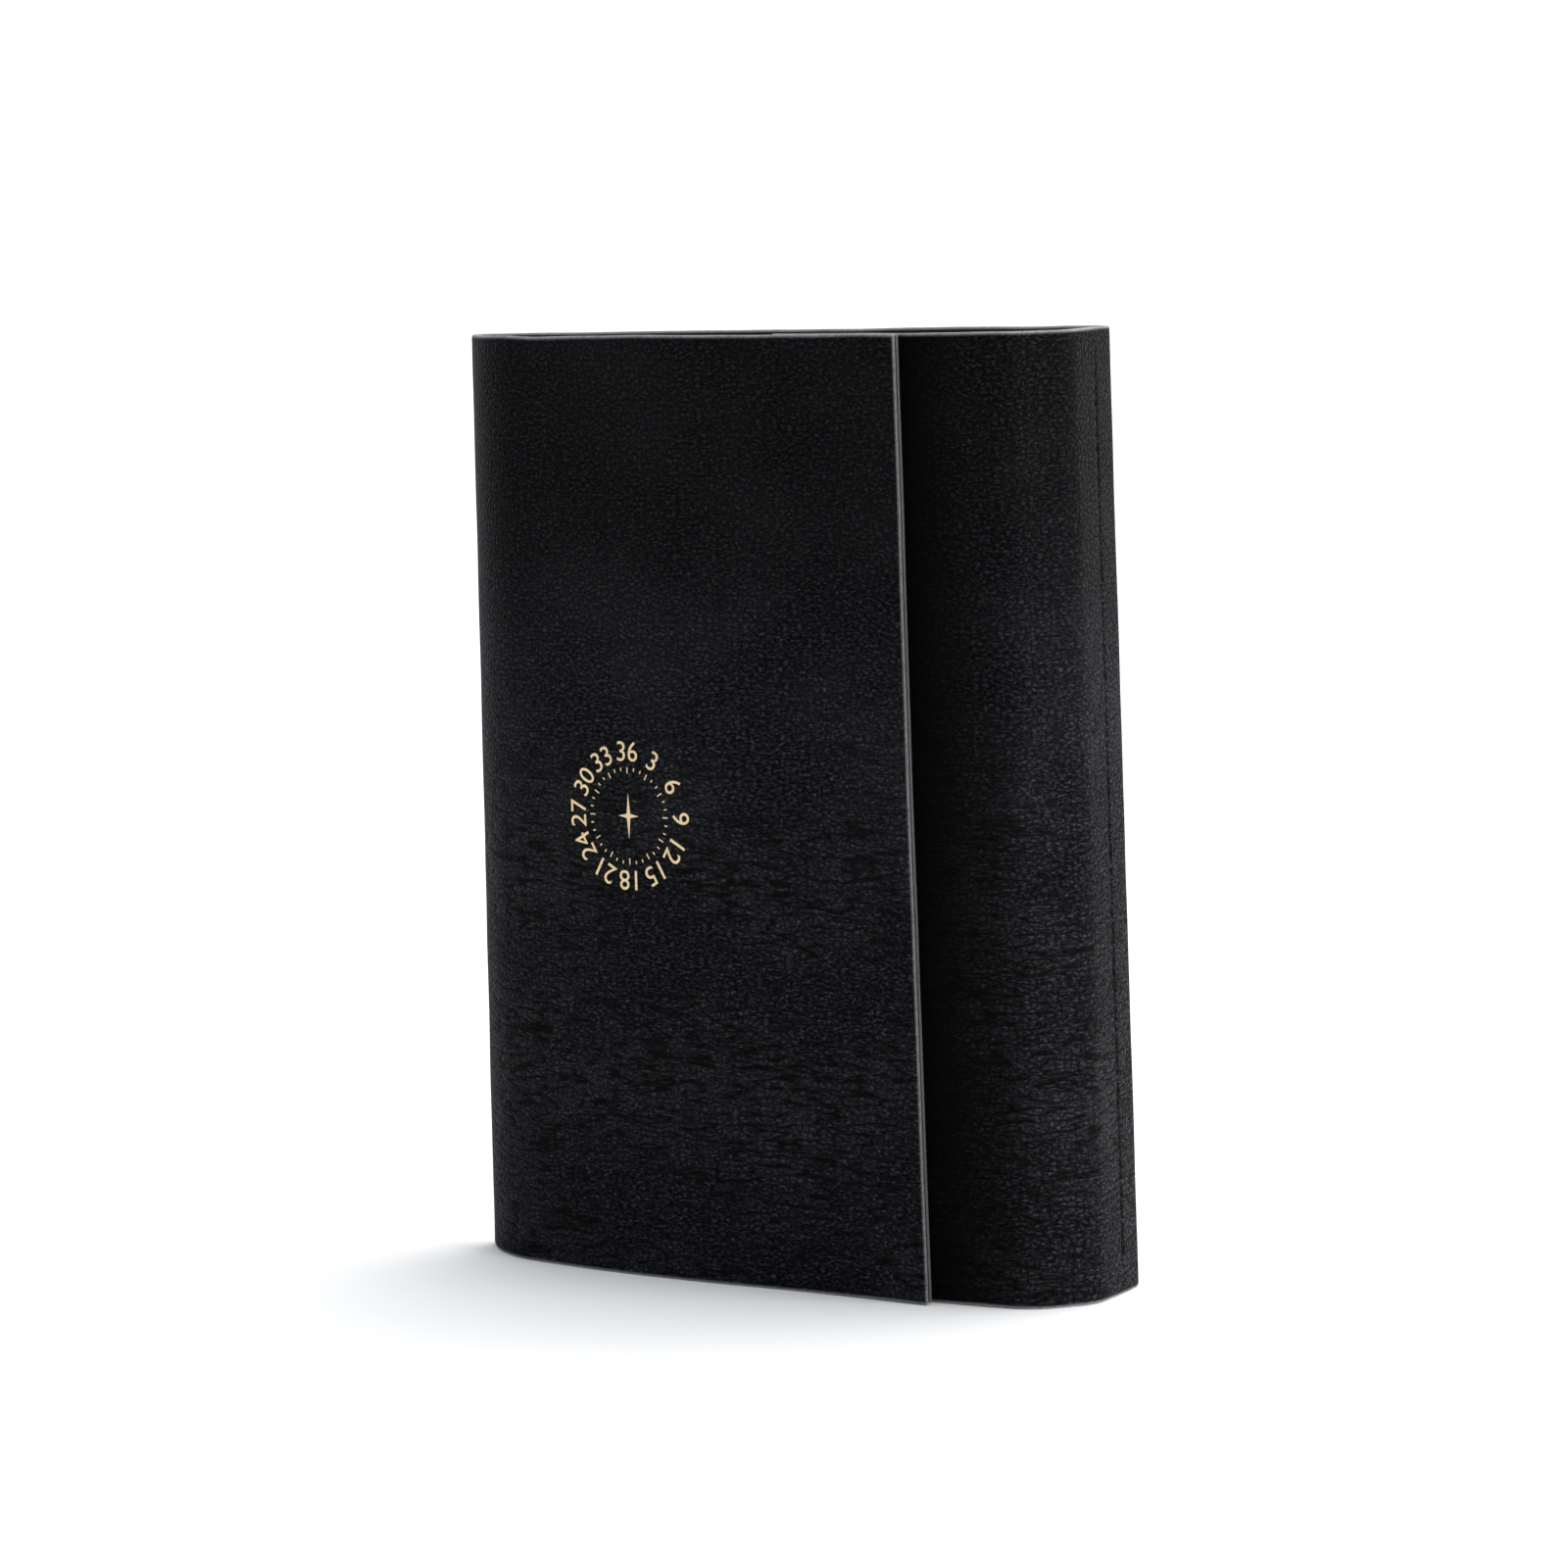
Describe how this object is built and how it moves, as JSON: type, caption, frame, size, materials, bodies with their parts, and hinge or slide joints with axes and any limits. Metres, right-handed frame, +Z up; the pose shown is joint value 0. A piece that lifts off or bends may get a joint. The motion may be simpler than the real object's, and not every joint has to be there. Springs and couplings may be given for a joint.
{
  "type": "pilot logbook",
  "caption": "Slim flight logbook in an upright folded leather wrap cover with a front flap, a side wing, a cover sleeve, a slip pocket and two pen loops.",
  "frame": {"origin": "under the middle of the whole object, on the surface that its lower edges stand on", "axes": "+X from the left fold to the stitched right end, -Y towards the front flap, +Z up"},
  "size_m": [0.174, 0.0392, 0.228],
  "materials": {
    "outer_leather": "black nubuck, matt, finely pebbled",
    "lining_leather": "black smooth lining leather, matt",
    "fittings_leather": "black smooth leather, matt",
    "thread": "black waxed thread",
    "steel": "thin plated discs",
    "logbook_cover": "navy book cloth on thin flexible board",
    "page_paper": "cream ledger paper",
    "end_paper": "pale grey end paper",
    "binding_cloth": "undyed cotton mull and tape"
  },
  "bodies": {
    "back": {"back_panel_leather": "outer_leather", "back_panel_lining": "lining_leather", "cover_sleeve": "fittings_leather", "cover_sleeve_welt": "fittings_leather", "cover_sleeve_stitching": "thread", "logbook_back_cover": "logbook_cover", "logbook_back_endpaper": "end_paper", "sewn_section_1": "page_paper", "sewn_section_2": "page_paper", "sewn_section_3": "page_paper", "sewing_tapes": "binding_cloth", "spine_cloth": "binding_cloth", "head_and_tail_bands": "binding_cloth"},
    "spine_strip": {"spine_strip_leather": "outer_leather", "spine_strip_lining": "lining_leather"},
    "front_flap": {"front_flap_leather": "outer_leather", "front_flap_lining": "lining_leather", "flap_magnets": "steel"},
    "side_strip": {"side_strip_leather": "outer_leather", "side_strip_lining": "lining_leather", "side_stitching": "thread", "pen_loop_band": "fittings_leather", "pen_loop_lower": "fittings_leather", "pen_loop_upper": "fittings_leather"},
    "wing": {"wing_leather": "outer_leather", "wing_lining": "lining_leather", "wing_keepers": "steel", "document_pocket": "fittings_leather", "document_pocket_welt": "fittings_leather", "document_pocket_stitching": "thread"},
    "logbook_spine": {"logbook_spine": "logbook_cover"},
    "logbook_front": {"logbook_front_cover": "logbook_cover", "logbook_front_endpaper": "end_paper"},
    "leaves_1": {"turning_section_1": "page_paper"},
    "leaves_2": {"turning_section_2": "page_paper"},
    "leaves_3": {"turning_section_3": "page_paper"},
    "leaves_4": {"turning_section_4": "page_paper"}
  },
  "joints": [
    {"name": "spine_fold", "type": "hinge", "parent": "back", "child": "spine_strip", "pos_m": [-0.08646, 0.01759, 0.114], "axis": [0, 0, -1], "range_deg": [0, 120]},
    {"name": "flap_fold", "type": "hinge", "parent": "spine_strip", "child": "front_flap", "pos_m": [-0.07772, 0.00362, 0.114], "axis": [0, 0, -1], "range_deg": [0, 50]},
    {"name": "side_fold", "type": "hinge", "parent": "back", "child": "side_strip", "pos_m": [0.08583, 0.01842, 0.114], "axis": [0, 0, 1], "range_deg": [0, 102]},
    {"name": "wing_fold", "type": "hinge", "parent": "side_strip", "child": "wing", "pos_m": [0.08091, -0.01018, 0.114], "axis": [0, 0, 1], "range_deg": [0, 96]},
    {"name": "logbook_spine_fold", "type": "hinge", "parent": "back", "child": "logbook_spine", "pos_m": [-0.0712, 0.01669, 0.114], "axis": [0, 0, -1], "range_deg": [0, 78]},
    {"name": "logbook_cover_fold", "type": "hinge", "parent": "logbook_spine", "child": "logbook_front", "pos_m": [-0.0712, 0.00339, 0.114], "axis": [0, 0, -1], "range_deg": [0, 94]},
    {"name": "leaves_1_turn", "type": "hinge", "parent": "back", "child": "leaves_1", "pos_m": [-0.069, 0.00969, 0.114], "axis": [0, 0, -1], "range_deg": [0, 138]},
    {"name": "leaves_2_turn", "type": "hinge", "parent": "back", "child": "leaves_2", "pos_m": [-0.069, 0.00969, 0.114], "axis": [0, 0, -1], "range_deg": [0, 148]},
    {"name": "leaves_3_turn", "type": "hinge", "parent": "back", "child": "leaves_3", "pos_m": [-0.069, 0.00969, 0.114], "axis": [0, 0, -1], "range_deg": [0, 158]},
    {"name": "leaves_4_turn", "type": "hinge", "parent": "back", "child": "leaves_4", "pos_m": [-0.069, 0.00969, 0.114], "axis": [0, 0, -1], "range_deg": [0, 166]}
  ],
  "couplings": [
    {"joint": "flap_fold", "follows": "spine_fold", "ratio": 0.41667},
    {"joint": "side_fold", "follows": "spine_fold", "ratio": 0.85},
    {"joint": "wing_fold", "follows": "spine_fold", "ratio": 0.8},
    {"joint": "logbook_spine_fold", "follows": "spine_fold", "ratio": 0.65},
    {"joint": "logbook_cover_fold", "follows": "spine_fold", "ratio": 0.78333},
    {"joint": "leaves_1_turn", "follows": "spine_fold", "ratio": 1.15},
    {"joint": "leaves_2_turn", "follows": "spine_fold", "ratio": 1.2333},
    {"joint": "leaves_3_turn", "follows": "spine_fold", "ratio": 1.3167},
    {"joint": "leaves_4_turn", "follows": "spine_fold", "ratio": 1.3833}
  ]
}
